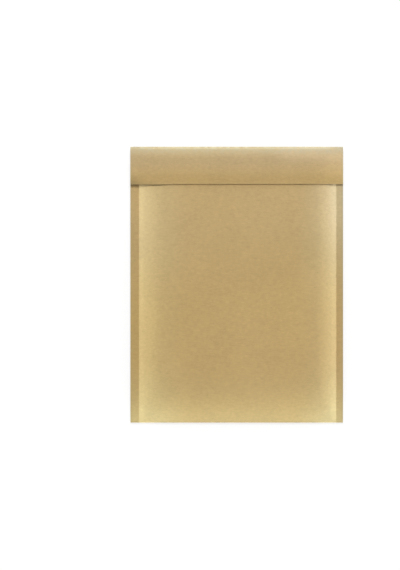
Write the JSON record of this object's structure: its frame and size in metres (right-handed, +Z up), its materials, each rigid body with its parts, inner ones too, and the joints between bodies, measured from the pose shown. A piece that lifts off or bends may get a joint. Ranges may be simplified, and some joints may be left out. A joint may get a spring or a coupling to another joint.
{
  "type": "bubble mailer",
  "caption": "Padded kraft mailer lying flat: a folded paper envelope with sealed sides, a bubble-film lining, and a fold-over flap with an adhesive strip under its release liner.",
  "frame": {"origin": "on the surface that the mailer lies on, under the middle of its bounding box", "axes": "+Y from the bottom fold to the flap, +Z up out of the front face, +X to the right as the flap side is seen"},
  "size_m": [0.216, 0.2802, 0.0095],
  "materials": {
    "kraft_paper": "matte uncoated brown kraft",
    "bubble_film": "clear glossy film",
    "adhesive": "tacky hot melt",
    "silicone_paper": "smooth release coating"
  },
  "bodies": {
    "root": {"kraft_envelope": "kraft_paper", "bubble_lining": "bubble_film", "adhesive_strip": "adhesive", "release_liner": "silicone_paper"}
  },
  "joints": []
}
